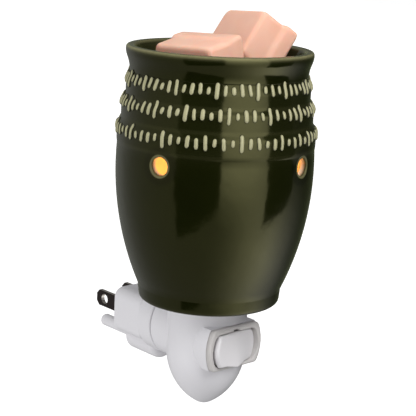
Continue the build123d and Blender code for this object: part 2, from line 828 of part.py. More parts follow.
lever_tip = lever_reach - lever_thickness
contact_y = pivot_y + lever_y * math.cos(tilt) + lever_tip * math.sin(tilt) + slot_play
post_y = pivot_y + lever_y / math.cos(tilt) + lever_thickness * math.tan(tilt)
with BuildPart() as switch_terminals:
    with BuildSketch(Plane(origin=(0, box_back_y + terminal_tail, switch_z), x_dir=(1, 0, 0), z_dir=(0, -1, 0))):
        Rectangle(lever_thickness, lever_width)
    extrude(amount=box_back_y + terminal_tail - post_y)
    with BuildSketch(Plane(origin=(lever_tip, box_back_y + terminal_tail, switch_z), x_dir=(1, 0, 0), z_dir=(0, -1, 0))):
        Rectangle(lever_thickness, lever_width)
    extrude(amount=box_back_y + terminal_tail - contact_y)
made(switch_terminals.part, "switch_terminals")

# Leads: two in the plug head, then three in the arm and column. Where the arm turns, they
# meet end to end in the hollow spindle.


def lead(name, points, both_sides=False):
    """A round insulated wire along straight runs with rounded bends."""
    with BuildPart() as wire:
        with BuildLine():
            run = FilletPolyline(*points, radius=wire_bend)
        with BuildSketch(Plane(origin=run @ 0, z_dir=run % 0)):
            Circle(wire_r)
        sweep()
        if both_sides:
            mirror(about=Plane.YZ)
    made(wire.part, name)


tail_y = -blade_tail - fit_gap
spread_y = tail_y - 2 * wire_bend
join_y = seam_y - swivel_gap
terminal_y = box_back_y + terminal_tail + fit_gap
lead_y = terminal_y + wire_run
shell_tab_z = holder_z - tab_length - fit_gap
contact_tab_z = holder_z - tab_length / 2
plug_run = [
    (neutral_x, tail_y, 0),
    (neutral_x, spread_y, 0),
    (wire_spread, spread_y - neutral_x + wire_spread, 0),
    (wire_spread, seam_y, 0),
]
lead("plug_leads", plug_run, both_sides=True)
lead("neutral_lead", [
    (wire_spread, join_y, 0),
    (wire_spread, axis_y + tab_y, 0),
    (wire_spread, axis_y + tab_y, shell_tab_z),
])
lead("hot_lead", [
    (-wire_spread, join_y, 0),
    (-wire_spread, lead_y + wire_run, 0),
    (0, lead_y, switch_z),
    (0, terminal_y, switch_z),
])
lead("switch_lead", [
    (lever_tip, terminal_y, switch_z),
    (lever_tip, lead_y, switch_z),
    (0, lead_y, contact_tab_z),
    (0, axis_y + tab_thickness / 2 + fit_gap, contact_tab_z),
])
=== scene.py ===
import math
import random

import bmesh
import bpy
from mathutils import Matrix, Quaternion, Vector, noise


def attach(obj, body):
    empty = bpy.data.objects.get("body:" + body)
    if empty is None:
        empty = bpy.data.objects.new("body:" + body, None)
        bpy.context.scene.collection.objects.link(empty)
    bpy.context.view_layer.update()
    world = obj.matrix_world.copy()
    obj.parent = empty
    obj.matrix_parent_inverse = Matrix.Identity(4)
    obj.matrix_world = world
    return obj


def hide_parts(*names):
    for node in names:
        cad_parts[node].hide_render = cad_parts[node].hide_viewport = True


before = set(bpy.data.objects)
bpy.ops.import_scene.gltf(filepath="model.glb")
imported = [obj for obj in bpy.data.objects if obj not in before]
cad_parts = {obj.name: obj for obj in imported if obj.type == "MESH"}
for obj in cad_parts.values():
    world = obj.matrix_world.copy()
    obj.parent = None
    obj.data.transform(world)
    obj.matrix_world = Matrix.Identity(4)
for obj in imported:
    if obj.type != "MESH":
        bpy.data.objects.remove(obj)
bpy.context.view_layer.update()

# Plug blades
# Two flat blades punched from plated brass strip, with the common locking hole, and pressed
# into slots of the face plate. Their broad faces are coloured dark as painted reflection and
# shade, while their cut edges keep the bright metal colour.
mm = 0.001


class Mask:
    """A float socket that plain arithmetic can be done with."""

    def __init__(self, tree, socket):
        self.tree, self.socket = tree, socket

    def combine(self, operation, first, second):
        node = self.tree.nodes.new("ShaderNodeMath")
        node.operation = operation
        for slot, value in zip(node.inputs, (first, second)):
            if isinstance(value, Mask):
                self.tree.links.new(value.socket, slot)
            else:
                slot.default_value = value
        return Mask(self.tree, node.outputs[0])

    def __add__(self, other):
        return self.combine("ADD", self, other)

    def __radd__(self, other):
        return self.combine("ADD", other, self)

    def __sub__(self, other):
        return self.combine("SUBTRACT", self, other)

    def __rsub__(self, other):
        return self.combine("SUBTRACT", other, self)

    def __mul__(self, other):
        return self.combine("MULTIPLY", self, other)

    def __rmul__(self, other):
        return self.combine("MULTIPLY", other, self)

    def held(self):
        """The same value kept between nought and one."""
        return self.combine("MAXIMUM", self.combine("MINIMUM", self, 1.0), 0.0)


class Nodes:
    """A node tree whose nodes are all made in one way."""

    def __init__(self, tree):
        self.tree = tree

    def node(self, kind, settings=None, inputs=None):
        node = self.tree.nodes.new(kind)
        for key, value in (settings or {}).items():
            setattr(node, key, value)
        for key, value in (inputs or {}).items():
            self.fill(node.inputs[key], value)
        return node

    def fill(self, slot, value):
        if isinstance(value, Mask):
            value = value.socket
        if isinstance(value, bpy.types.NodeSocket):
            self.tree.links.new(value, slot)
        else:
            slot.default_value = value

    def number(self, kind, output, settings=None, inputs=None):
        """One output of a new node, as a number to reckon with."""
        return Mask(self.tree, self.node(kind, settings, inputs).outputs[output])


class Finish(Nodes):
    """A material on a principled shader."""

    def __init__(self, name):
        self.material = bpy.data.materials.new(name)
        self.material.use_nodes = True
        super().__init__(self.material.node_tree)
        self.shader = self.tree.nodes["Principled BSDF"]
        self.place = self.node("ShaderNodeTexCoord")
        self.spot = self.place.outputs["Object"]

    def set(self, **inputs):
        for key, value in inputs.items():
            self.fill(self.shader.inputs[key.replace("_", " ")], value)

    def cloud(self, size, detail=3.0):
        """Soft noise between nought and one, its grains about one size across."""
        inputs = {"Vector": self.spot, "Scale": 1 / size, "Detail": detail}
        return self.number("ShaderNodeTexNoise", 0, {}, inputs)

    def painted(self, name):
        """A number stored on the mesh."""
        return self.number("ShaderNodeAttribute", "Fac", {"attribute_name": name})

    def tint(self, mask, low, high):
        """From one colour to another as the mask goes from nought to one."""
        node = self.node("ShaderNodeMix", {"data_type": "RGBA"}, {0: mask})
        self.fill(node.inputs[6], low)
        self.fill(node.inputs[7], high)
        return node.outputs[2]

    def relief(self, height, depth):
        bump = self.node("ShaderNodeBump", {}, {"Height": height, "Distance": depth})
        self.set(Normal=bump.outputs[0])


def rgb(red, green, blue):
    return (red, green, blue, 1.0)


def mottled(name, low, high, rough, grain, depth, **constants):
    """A plain finish with faint clouds in its colour, gloss and surface."""
    gloss_range = 0.12
    fine_share = 6
    finish = Finish(name)
    clouds = finish.cloud(grain)
    finish.set(Base_Color=finish.tint(clouds, rgb(*low), rgb(*high)))
    finish.set(Roughness=rough + gloss_range * (clouds - 0.5))
    finish.relief(finish.cloud(grain / fine_share), depth)
    finish.set(**constants)
    return finish.material


def metal(name, low, high, rough, grain, depth):
    """The same finish on metal."""
    return mottled(name, low, high, rough, grain, depth, Metallic=1.0)


def wear(material, *nodes):
    """Give CAD nodes one material."""
    for name in nodes:
        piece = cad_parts[name]
        piece.data.materials.clear()
        piece.data.materials.append(material)


face_start = 0.3
face_slope = 3.0
blade_metal = Finish("blade_metal")
blade_normal = blade_metal.place.outputs["Normal"]
blade_side = blade_metal.number("ShaderNodeSeparateXYZ", "X", {}, {0: blade_normal})
# Painted reflection and shade: faces whose normals point along X, the broad faces, get a dark colour in
# place of the metal's own.
blade_face_shade_mask = ((blade_side * blade_side - face_start) * face_slope).held()
blade_clouds = blade_metal.cloud(3 * mm)
painted_face_shade = blade_metal.tint(blade_clouds, rgb(0.045, 0.034, 0.032), rgb(0.075, 0.06, 0.055))
blade_metal.set(Base_Color=blade_metal.tint(blade_face_shade_mask, rgb(0.80, 0.75, 0.68), painted_face_shade))
blade_metal.set(Roughness=0.26 + 0.1 * blade_metal.cloud(2 * mm), Metallic=1.0)
blade_metal.relief(blade_metal.cloud(0.6 * mm), 0.008 * mm)
wear(blade_metal.material, "hot_blade", "neutral_blade")

# Plug head, housing and seat ring
# Moulded in one glossy white plastic. The two halves of the housing are screwed together,
# the face plate closes the plug head and the seat ring is pressed into the column.
plastic = mottled("white_plastic", (0.68, 0.67, 0.70), (0.72, 0.71, 0.735), 0.34, 30 * mm, 0.004 * mm)
wear(plastic, "plug_head", "plug_face", "rear_housing", "front_housing", "seat_ring")

# Swivel clip and housing screw
# A spring-steel ring keeps the arm on the plug's spindle, and a plated screw holds the two
# halves of the housing together. The switch's lever and terminals are plated strip.
steel = metal("plated_steel", (0.50, 0.51, 0.52), (0.62, 0.62, 0.62), 0.28, 2 * mm, 0.004 * mm)
wear(steel, "swivel_clip", "housing_screw", "rocker_contact", "switch_terminals")

# Switch
# The frame is moulded in a greyer plastic than the housing and snaps into its box. The white
# rocker turns on two studs and has a ridge that stands out most at its foot.
bezel_y = -58.4 * mm
bezel_z = -1.3 * mm
bezel_half = 10.9 * mm
bezel_rise = 7.85 * mm
bezel_bow = 2.0 * mm
bezel_corner = 1.4 * mm
bezel_edge = ((0, -0.7 * mm), (0.1 * mm, -0.3 * mm), (0.35 * mm, -0.08 * mm), (0.7 * mm, 0))
plate_depth = 2.2 * mm
well_half = 9.1 * mm
well_low = -6.5 * mm
well_high = 5.9 * mm
well_depth = 8.0 * mm
well_corner = 1.6 * mm
well_edge = ((0.4 * mm, 0), (0.12 * mm, -0.12 * mm), (0, -0.4 * mm))
well_foot = 0.2 * mm
box_half = 10.2 * mm
box_rise = 6.7 * mm
box_depth = 11.5 * mm
box_corner = 0.6 * mm
box_wall = 0.7 * mm
notch_half = 1.5 * mm
notch_height = 0.8 * mm
notch_slope = 1.1
side_steps = 6


def bridge(bm, loops):
    """Faces between closed loops of points; a loop of one point closes an end."""
    rows = [[bm.verts.new(point) for point in loop] for loop in loops]
    for low, high in zip(rows, rows[1:]):
        count = max(len(low), len(high))
        for k in range(count):
            n = (k + 1) % count
            corners = (low[k % len(low)], low[n % len(low)], high[n % len(high)], high[k % len(high)])
            bm.faces.new(list(dict.fromkeys(corners)))


def softened(corners, steps=5):
    """A profile through (across, up, rounding) corners, each turned by a short curve."""
    points = [Vector(corners[0][:2])]
    for before, corner, after in zip(corners, corners[1:], corners[2:]):
        middle, rounding = Vector(corner[:2]), corner[2]
        if not rounding:
            points.append(middle)
            continue
        start = middle + (Vector(before[:2]) - middle).normalized() * rounding
        end = middle + (Vector(after[:2]) - middle).normalized() * rounding
        for step in range(steps + 1):
            t = step / steps
            points.append(start.lerp(middle, t).lerp(middle.lerp(end, t), t))
    return points + [Vector(corners[-1][:2])]


def finished(name, bm, material):
    """A smooth mesh object from what was built."""
    bmesh.ops.recalc_face_normals(bm, faces=bm.faces)
    mesh = bpy.data.meshes.new(name)
    bm.to_mesh(mesh)
    bm.free()
    mesh.shade_smooth()
    mesh.materials.append(material)
    piece = bpy.data.objects.new(name, mesh)
    bpy.context.scene.collection.objects.link(piece)
    return piece


def switch_loop(half, low, high, bow, rounding, notch, out):
    """Points round the switch's outline, seen from the front, at a height off its face."""
    corners = [(0, low, 0)]
    for side in (1, -1):
        ends = (low, high) if side > 0 else (high, low)
        corners.append((side * half, ends[0], rounding))
        for step in range(1, side_steps):
            share = 2 * step / side_steps - 1
            height = ends[0] + (ends[1] - ends[0]) * step / side_steps
            corners.append((side * (half + bow * (1 - share**2)), height, 0))
        corners.append((side * half, ends[1], rounding))
        if side > 0:
            for across, rise in ((notch_slope, 0), (1, notch), (-1, notch), (-notch_slope, 0)):
                corners.append((across * notch_half, high + rise, 0))
    corners.append((0, low, 0))
    return [(point.x, bezel_y - out, bezel_z + point.y) for point in softened(corners)[:-1]]


def bezel_loop(inset, out):
    rise = bezel_rise - inset
    return switch_loop(bezel_half - inset, -rise, rise, bezel_bow, bezel_corner, 0, out)


def well_loop(grown, out):
    sizes = (well_half + grown, well_low - grown, well_high + grown, bezel_bow)
    return switch_loop(*sizes, well_corner, notch_height, out)


def box_loop(inset, out):
    rise = box_rise - inset
    return switch_loop(box_half - inset, -rise, rise, 0, box_corner, 0, out)


frame_bm = bmesh.new()
bridge(
    frame_bm,
    [
        [(0, bezel_y + box_depth, bezel_z)],
        box_loop(0, -box_depth),
        box_loop(0, -plate_depth),
        bezel_loop(0, -plate_depth),
        *(bezel_loop(inset, out) for inset, out in bezel_edge),
        *(well_loop(grown, out) for grown, out in well_edge),
        well_loop(0, well_foot - plate_depth),
        box_loop(box_wall, -plate_depth),
        box_loop(box_wall, -well_depth),
        [(0, bezel_y + well_depth, bezel_z)],
    ],
)
frame_low, frame_high = (0.50, 0.48, 0.47), (0.54, 0.52, 0.51)
frame_grey = mottled("switch_frame_plastic", frame_low, frame_high, 0.36, 8 * mm, 0.01 * mm)
bezel = finished("switch_bezel", frame_bm, frame_grey)
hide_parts("switch_frame")
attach(bezel, "base")

pivot_y = -56.8 * mm
rocker_tilt = math.radians(8)
rocker_half = 8.7 * mm
rocker_low = -6.25 * mm
rocker_high = 5.6 * mm
rocker_foot = 1.1 * mm
foot_reach = 5.0 * mm
wing_out = 1.3 * mm
ridge_out_high = 2.0 * mm
ridge_out_low = 3.9 * mm
ridge_x = -1.0 * mm
ridge_round = 0.1
rim_out = 0.5 * mm
rim_round = 0.7 * mm
brow_round = 2.0 * mm
rocker_back = -2.6 * mm
back_share = 0.9
rocker_columns = 44
rocker_rows = 30


def spread(step, steps):
    """From nought to one, closer together at both ends."""
    return (1 - math.cos(math.pi * step / steps)) / 2


def rolled(distance, radius):
    """How far a face stands out near its rounded edge, from nought to one."""
    near = max(0.0, min(distance / radius, 1.0))
    return math.sqrt(1 - (1 - near) ** 2)


def rocker_point(across, up):
    """A point of the rocker's front, both shares running from nought to one."""
    middle = (rocker_low + rocker_high) / 2
    bulge = 1 - ((rocker_low + up * (rocker_high - rocker_low) - middle) / (rocker_high - middle)) ** 2
    half = rocker_half + bezel_bow * max(bulge, 0)
    x = half * (2 * across - 1)
    low = rocker_low - rocker_foot * max(0.0, 1 - abs(x - ridge_x) / foot_reach)
    z = low + up * (rocker_high - low)
    away = abs(x - ridge_x) / (half + abs(ridge_x))
    crest = 1 - (math.sqrt(away**2 + ridge_round**2) - ridge_round)
    ridge = ridge_out_low + (ridge_out_high - ridge_out_low) * up
    out = wing_out + (ridge - wing_out) * max(crest, 0)
    held = rolled(half - abs(x), rim_round) * rolled(z - low, rim_round)
    held *= rolled(rocker_high - z, brow_round)
    return x, rim_out + (out - rim_out) * held, z


def rocked(x, out, z):
    """The same point with the rocker tipped to its resting side."""
    turned_x = x * math.cos(rocker_tilt) + out * math.sin(rocker_tilt)
    turned_out = out * math.cos(rocker_tilt) - x * math.sin(rocker_tilt)
    return turned_x, pivot_y - turned_out, bezel_z + z


rocker_bm = bmesh.new()
rocker_grid = []
for row in range(rocker_rows + 1):
    line = []
    for column in range(rocker_columns + 1):
        spot = rocker_point(spread(column, rocker_columns), spread(row, rocker_rows))
        line.append(rocker_bm.verts.new(rocked(*spot)))
    rocker_grid.append(line)
for low_line, high_line in zip(rocker_grid, rocker_grid[1:]):
    for column in range(rocker_columns):
        corners = (low_line[column], low_line[column + 1], high_line[column + 1], high_line[column])
        rocker_bm.faces.new(corners)
border = rocker_grid[0] + [line[-1] for line in rocker_grid[1:-1]]
border += rocker_grid[-1][::-1] + [line[0] for line in rocker_grid[-2:0:-1]]
back_edge = []
for vertex in border:
    x, z = vertex.co.x * back_share, (vertex.co.z - bezel_z) * back_share
    z = max(z, rocker_low * back_share)
    back_edge.append(rocker_bm.verts.new((x, pivot_y - rocker_back, bezel_z + z)))
for k, vertex in enumerate(border):
    n = (k + 1) % len(border)
    rocker_bm.faces.new((vertex, back_edge[k], back_edge[n], border[n]))
rocker_bm.faces.new(back_edge)
rocker_low_white, rocker_high_white = (0.66, 0.645, 0.66), (0.72, 0.70, 0.715)
rocker_white = mottled("rocker_plastic", rocker_low_white, rocker_high_white, 0.24, 12 * mm, 0.006 * mm)
rocker = finished("rocker_key", rocker_bm, rocker_white)
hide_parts("switch_rocker")
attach(rocker, "rocker")

# Wiring and lamp holder
# Insulated leads run from the blades through the hollow spindle to the switch and to the
# lamp holder, a cream barrel with a pressed brass shell.
lead_cover = mottled("lead_cover", (0.03, 0.03, 0.03), (0.06, 0.06, 0.06), 0.45, 2 * mm, 0.01 * mm)
wear(lead_cover, "plug_leads", "neutral_lead", "hot_lead", "switch_lead")
holder_cream = mottled("holder_plastic", (0.60, 0.58, 0.54), (0.68, 0.66, 0.62), 0.45, 5 * mm, 0.01 * mm)
wear(holder_cream, "lamp_holder")
shell_brass = metal("lamp_brass", (0.60, 0.46, 0.25), (0.70, 0.56, 0.34), 0.3, 2 * mm, 0.005 * mm)
wear(shell_brass, "holder_shell", "holder_contact")

# Lamp
# A small screw-base lamp, lit: frosted glass that glows warm on a nickel-plated base, with
# a dark insulator, a solder tip, a glass stem and a coiled filament.
nickel = metal("lamp_nickel", (0.60, 0.59, 0.55), (0.72, 0.70, 0.66), 0.25, 1.5 * mm, 0.004 * mm)
wear(nickel, "lamp_base")
solder = metal("lamp_solder", (0.45, 0.45, 0.46), (0.60, 0.60, 0.60), 0.42, 0.8 * mm, 0.02 * mm)
wear(solder, "lamp_tip")
insulator = mottled("lamp_insulator", (0.02, 0.02, 0.025), (0.05, 0.04, 0.04), 0.2, 1 * mm, 0.01 * mm)
wear(insulator, "lamp_insulator")
frosted = Finish("lamp_glass")
lamp_glow = frosted.tint(frosted.cloud(12 * mm), rgb(1.0, 0.42, 0.10), rgb(1.0, 0.52, 0.16))
frosted.set(Base_Color=lamp_glow, Roughness=0.4)
frosted.set(Emission_Color=lamp_glow, Emission_Strength=6.0)
wear(frosted.material, "lamp_glass")
glass_stem = mottled("stem_glass", (0.75, 0.78, 0.76), (0.85, 0.87, 0.85), 0.08, 2 * mm, 0.004 * mm)
wear(glass_stem, "lamp_stem")
hot_wire = metal("filament_wire", (0.4, 0.35, 0.3), (0.6, 0.5, 0.4), 0.4, 0.5 * mm, 0.01 * mm)
wear(hot_wire, "lamp_filament")

# Ceramic shade
# Cast in one piece and dipped in a dark green glaze, which thins over the ribs, the lip and
# the rims of the four vents, where the pale body shows through, and pools beside them.
axis_y = -42.0 * mm
foot_z = 13.9 * mm
shade_height = 92.3 * mm
shade_wall = 3.2 * mm
belly_r = 35.9 * mm
belly_height = 50.0 * mm
belly_curve_r = 110.0 * mm
belly_top = 57.5 * mm
foot_r = 26.4 * mm
foot_band = 5.3 * mm
foot_bend = 3.6 * mm
foot_bend_inset = 0.1 * mm
foot_bend_round = 1.5 * mm
foot_edge_inset = 0.45 * mm
foot_edge_round = 1.6 * mm
foot_ring_r = 22.4 * mm
foot_ring_round = 0.8 * mm
foot_recess = 4.0 * mm
floor_hole_r = 17.0 * mm
floor_top = 7.5 * mm
floor_round = 0.5 * mm
rib_radii = (35.8 * mm, 34.5 * mm, 33.1 * mm)
rib_bottoms = (58.6 * mm, 66.8 * mm, 74.8 * mm)
rib_tops = (64.4 * mm, 72.7 * mm, 80.1 * mm)
rib_round = 1 * mm
rib_foot_round = 0.8 * mm
rib_foot_step = 0.05 * mm
waist_r = 31.8 * mm
waist_height = 84.0 * mm
waist_rise = 1 * mm
waist_round = 2.5 * mm
waist_drop = 1.5 * mm
waist_step = 0.2 * mm
lip_r = 33.5 * mm
lip_height = 2.6 * mm
lip_inner_r = 30.3 * mm
lip_round = 1.3 * mm
lip_foot_round = 1.2 * mm
dish_z = 75.3 * mm
dish_floor_r = 20.0 * mm
dish_side_r = 28.0 * mm
dish_side_z = 81.3 * mm
dish_spread = 5 * mm
dish_side_step = 0.2 * mm
dish_side_round = 2 * mm
cavity_r = 31.3 * mm
cavity_top = 72.1 * mm
cavity_low_round = 2 * mm
cavity_top_round = 3 * mm
vent_r = 3.15 * mm
vent_height = 54.0 * mm
vent_turn = math.radians(15.8)
vent_flare = 0.8 * mm
vent_flare_steps = 6
shade_steps = 240
vent_steps = 40


def belly(inset, low, high, steps=20):
    """Corners along the belly's arc, drawn in by an inset."""
    corners = []
    for step in range(steps + 1):
        height = low + (high - low) * step / steps
        across = math.sqrt((belly_curve_r - inset) ** 2 - (height - belly_height) ** 2)
        corners.append((belly_r - belly_curve_r + across, height, 0))
    return corners


dish_corners = [
    (0, dish_z, 0),
    (dish_floor_r / 2, dish_z, 0),
    (dish_floor_r + dish_spread, dish_z, dish_spread),
    (dish_side_r + dish_side_step, dish_side_z, dish_side_round),
    (lip_inner_r, shade_height, lip_round),
    (lip_r, shade_height, lip_round),
    (lip_r, shade_height - lip_height, lip_foot_round),
    (waist_r, waist_height + waist_rise, waist_round),
]
rib_corners = [
    (waist_r + waist_step, waist_height - waist_drop, rib_round),
    (rib_radii[2], rib_tops[2], rib_round),
    (rib_radii[2], rib_bottoms[2], rib_round),
    (rib_radii[1], rib_tops[1], rib_round),
    (rib_radii[1], rib_bottoms[1], rib_round),
    (rib_radii[0], rib_tops[0], rib_round),
    (rib_radii[0] + rib_foot_step, rib_bottoms[0], rib_foot_round),
]
foot_corners = [
    (foot_r - foot_bend_inset, foot_bend, foot_bend_round),
    (foot_r - foot_edge_inset, 0, foot_edge_round),
    (foot_ring_r, 0, foot_ring_round),
    (foot_ring_r, foot_recess, floor_round),
    (floor_hole_r, foot_recess, floor_round),
    (floor_hole_r, floor_top, floor_round),
]
ceiling_corners = [
    (cavity_r, rib_bottoms[1], cavity_low_round),
    (cavity_r, cavity_top, cavity_top_round),
    (cavity_r / 2, cavity_top, 0),
    (0, cavity_top, 0),
]
shade_profile = softened(
    dish_corners
    + rib_corners
    + belly(0, belly_top, foot_band)
    + foot_corners
    + belly(shade_wall, floor_top, belly_top)
    + ceiling_corners
)


def ring(radius, height, steps):
    """Points round the shade's axis."""
    if radius == 0:
        return [(0, axis_y, foot_z + height)]
    turns = [2 * math.pi * k / steps for k in range(steps)]
    return [(radius * math.cos(t), axis_y + radius * math.sin(t), foot_z + height) for t in turns]


shade_bm = bmesh.new()
bridge(shade_bm, [ring(point.x, point.y, shade_steps) for point in shade_profile])
glaze = Finish("green_glaze")
shade = finished("glazed_shade", shade_bm, glaze.material)

# The vents are cut by round tools that widen at both faces of the wall, as glaze rounds
# a punched hole.
vent_tool = bmesh.new()
vent_mid = belly_r - shade_wall / 2
vent_profile = []
for side in (-1, 1):
    for step in range(vent_flare_steps + 1):
        t = math.pi / 2 * step / vent_flare_steps
        flare = vent_flare * (1 - math.cos(t)) if side > 0 else vent_flare * (1 - math.sin(t))
        run = vent_flare * math.sin(t) if side > 0 else -vent_flare * math.cos(t)
        vent_profile.append((vent_mid + side * (shade_wall / 2 - vent_flare) + run, vent_r + flare))
vent_wide = vent_r + vent_flare
vent_in, vent_out = vent_mid - 2 * shade_wall, vent_mid + 2 * shade_wall
vent_profile = [(vent_in, 0), (vent_in, vent_wide)] + vent_profile + [(vent_out, vent_wide), (vent_out, 0)]
vents = []
for quarter in range(4):
    turn = vent_turn + quarter * math.pi / 2
    outward = Vector((math.cos(turn), math.sin(turn), 0))
    sideways = Vector((-math.sin(turn), math.cos(turn), 0))
    start = Vector((0, axis_y, foot_z + vent_height))
    vents.append((start, outward))
    loops = []
    for out, radius in vent_profile:
        centre = start + out * outward
        if radius == 0:
            loops.append([centre])
            continue
        turns = [2 * math.pi * k / vent_steps for k in range(vent_steps)]
        rays = [math.cos(t) * sideways + Vector((0, 0, math.sin(t))) for t in turns]
        loops.append([centre + radius * ray for ray in rays])
    bridge(vent_tool, loops)
tool = finished("vent_tool", vent_tool, glaze.material)
cut = shade.modifiers.new("vents", "BOOLEAN")
cut.object = tool
cut.solver = "EXACT"
pierced = bpy.data.meshes.new_from_object(shade.evaluated_get(bpy.context.evaluated_depsgraph_get()))
shade.modifiers.clear()
shade.data = pierced
bpy.data.objects.remove(tool)

lip_thinness = 1.0
lip_inner_thinness = 0.5
foot_thinness = 0.15
rib_thinness = 0.05
thin_spread = 0.9 * mm
bare_share = 0.6
bare_margin = 0.1 * mm
thin_edges = [(lip_r, shade_height, lip_thinness), (lip_inner_r, shade_height, lip_inner_thinness)]
thin_edges += [(foot_r, 0, foot_thinness)]
thin_edges += [(corner[0], corner[1], rib_thinness) for corner in rib_corners[1:]]
glaze_thin = pierced.attributes.new("glaze_thin", "FLOAT", "POINT")
bare_body = pierced.attributes.new("bare_body", "FLOAT", "POINT")
for vertex, entry, bare in zip(pierced.vertices, glaze_thin.data, bare_body.data):
    spot = vertex.co
    across = math.hypot(spot.x, spot.y - axis_y)
    height = spot.z - foot_z
    thin = 0.0
    for edge_r, edge_z, strength in thin_edges:
        away = math.hypot(across - edge_r, height - edge_z)
        thin = max(thin, strength * math.exp(-((away / thin_spread) ** 2)))
    entry.value = thin
    inner_r = cavity_r + 2 * bare_margin
    if height < belly_top:
        arc = math.sqrt(belly_curve_r**2 - (height - belly_height) ** 2)
        inner_r = belly_r - belly_curve_r + arc - bare_share * shade_wall
    inside = floor_top - bare_margin < height < cavity_top + bare_margin and across < inner_r
    bare.value = 1.0 if inside else 0.0

# The four vents lie on two lines through the axis, so the distance from two lines finds them.
vent_rim_away = 0.5 * mm
vent_rim_width = 0.55 * mm
vent_halo_away = 2.4 * mm
vent_halo_width = 1.6 * mm
rim_strength = 0.55
halo_strength = 0.7
thin_strength = 0.85
vent_away = []
for start, outward in vents[:2]:
    off = glaze.node("ShaderNodeVectorMath", {"operation": "SUBTRACT"}, {0: glaze.spot, 1: start})
    pair = {0: off.outputs[0], 1: outward}
    across = glaze.node("ShaderNodeVectorMath", {"operation": "CROSS_PRODUCT"}, pair)
    measured = {0: across.outputs[0]}
    vent_away.append(glaze.number("ShaderNodeVectorMath", "Value", {"operation": "LENGTH"}, measured))
vent_near = vent_away[0].combine("MINIMUM", *vent_away)
rim_band = (vent_near - vent_r - vent_rim_away) * (1 / vent_rim_width)
halo_band = (vent_near - vent_r - vent_halo_away) * (1 / vent_halo_width)
vent_rim = (1 - rim_band * rim_band).held()
vent_halo = (1 - halo_band * halo_band).held()
thin = glaze.painted("glaze_thin") * (0.75 + 0.5 * glaze.cloud(1.2 * mm)) + rim_strength * vent_rim
pool = glaze.tint(glaze.cloud(16 * mm, 4.0), rgb(0.0045, 0.0060, 0.0008), rgb(0.0085, 0.0105, 0.0014))
pool = glaze.tint((halo_strength * vent_halo).held(), pool, rgb(0.002, 0.003, 0.0004))
skin = glaze.tint((thin_strength * thin).held(), pool, rgb(0.24, 0.225, 0.115))
bare = glaze.painted("bare_body")
glaze.set(Base_Color=glaze.tint(bare, skin, rgb(0.80, 0.70, 0.55)))
glaze.set(Roughness=0.09 + 0.06 * glaze.cloud(3 * mm) + 0.5 * bare)
glaze.set(Specular_Tint=rgb(1.0, 0.95, 0.45))
glaze.set(Sheen_Weight=0.16, Sheen_Tint=rgb(0.5, 0.62, 0.2), Sheen_Roughness=0.3)
glaze.relief(glaze.cloud(9 * mm, 2.0), 0.12 * mm)
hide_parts("ceramic_shade")
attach(shade, "shade")

# Raised dashes
# Grains of thick slip trailed on the ribs by hand before glazing, in three rows. The glaze
# runs off their crowns, so they stand out cream with a dark edge.
dash_count = 73
dash_rhythm = "mslmsmmlsmslmmsmlsm"
dash_shift = 7
dash_rows = (63.6 * mm, 72.9 * mm, 81.2 * mm)
dash_lengths = {"s": 2.9 * mm, "m": 4.3 * mm, "l": 5.9 * mm}
dash_length_range = (0.92, 1.08)
dash_width = 1.55 * mm
dash_width_range = (0.9, 1.15)
dash_drift = 0.3 * mm
dash_end_share = 0.65
dash_relief = 0.7 * mm
dash_lean = 0.10
dash_seat_reach = 0.6 * mm
dash_point = 0.001
wall_margin = 0.4 * mm
wall_reach = 5 * mm
crown_start = 0.32
crown_slope = 2.6
dash_rings = 15
dash_sides = 12
random.seed(7)


def wall_r(height):
    """The outside radius of the ribbed wall at a height."""
    inmost, lowest = cavity_r + wall_margin, rib_bottoms[0] - wall_reach
    outside = [p for p in shade_profile if p.x > inmost and p.y > lowest]
    for low, high in zip(outside, outside[1:]):
        if min(low.y, high.y) <= height <= max(low.y, high.y) and low.y != high.y:
            return low.x + (high.x - low.x) * (height - low.y) / (high.y - low.y)
    return rib_radii[0]


dash_bm = bmesh.new()
crowns = []
for row, dash_height in enumerate(dash_rows):
    for index in range(dash_count):
        letter = dash_rhythm[(index + row * dash_shift) % len(dash_rhythm)]
        length = dash_lengths[letter] * random.uniform(*dash_length_range)
        width = dash_width * random.uniform(*dash_width_range)
        lean = random.uniform(-dash_lean, dash_lean)
        middle = dash_height + random.uniform(-dash_drift, dash_drift)
        turn = 2 * math.pi * (index + row / 2) / dash_count
        loops = []
        for step in range(dash_rings):
            along = length / 2 * (2 * spread(step, dash_rings - 1) - 1)
            swell = rolled(length / 2 - abs(along), dash_end_share * width)
            height = middle + along
            base = sum(wall_r(height + d * dash_seat_reach) for d in (-1, 0, 1)) / 3
            loop = []
            for side in range(dash_sides):
                angle = 2 * math.pi * side / dash_sides
                sideways = width / 2 * swell * math.cos(angle) + lean * (height - middle)
                out = base + dash_relief * swell * math.sin(angle)
                phi = turn + sideways / base
                loop.append((out * math.cos(phi), axis_y + out * math.sin(phi), foot_z + height))
                crowns.append(swell * max(0.0, math.sin(angle)))
                if swell < dash_point:
                    break
            loops.append(loop)
        bridge(dash_bm, loops)
slip = Finish("dash_slip")
dashes = finished("slip_dashes_relief", dash_bm, slip.material)
crown_data = dashes.data.attributes.new("crown", "FLOAT", "POINT")
crown_data.data.foreach_set("value", crowns)
crown = (slip.painted("crown") - crown_start) * crown_slope + 0.5 * (slip.cloud(0.8 * mm) - 0.5)
slip_colour = slip.tint(crown.held(), rgb(0.012, 0.014, 0.003), rgb(0.36, 0.345, 0.20))
slip.set(Base_Color=slip_colour, Roughness=0.22)
slip.relief(slip.cloud(0.7 * mm), 0.05 * mm)
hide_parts("slip_dashes")
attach(dashes, "shade")

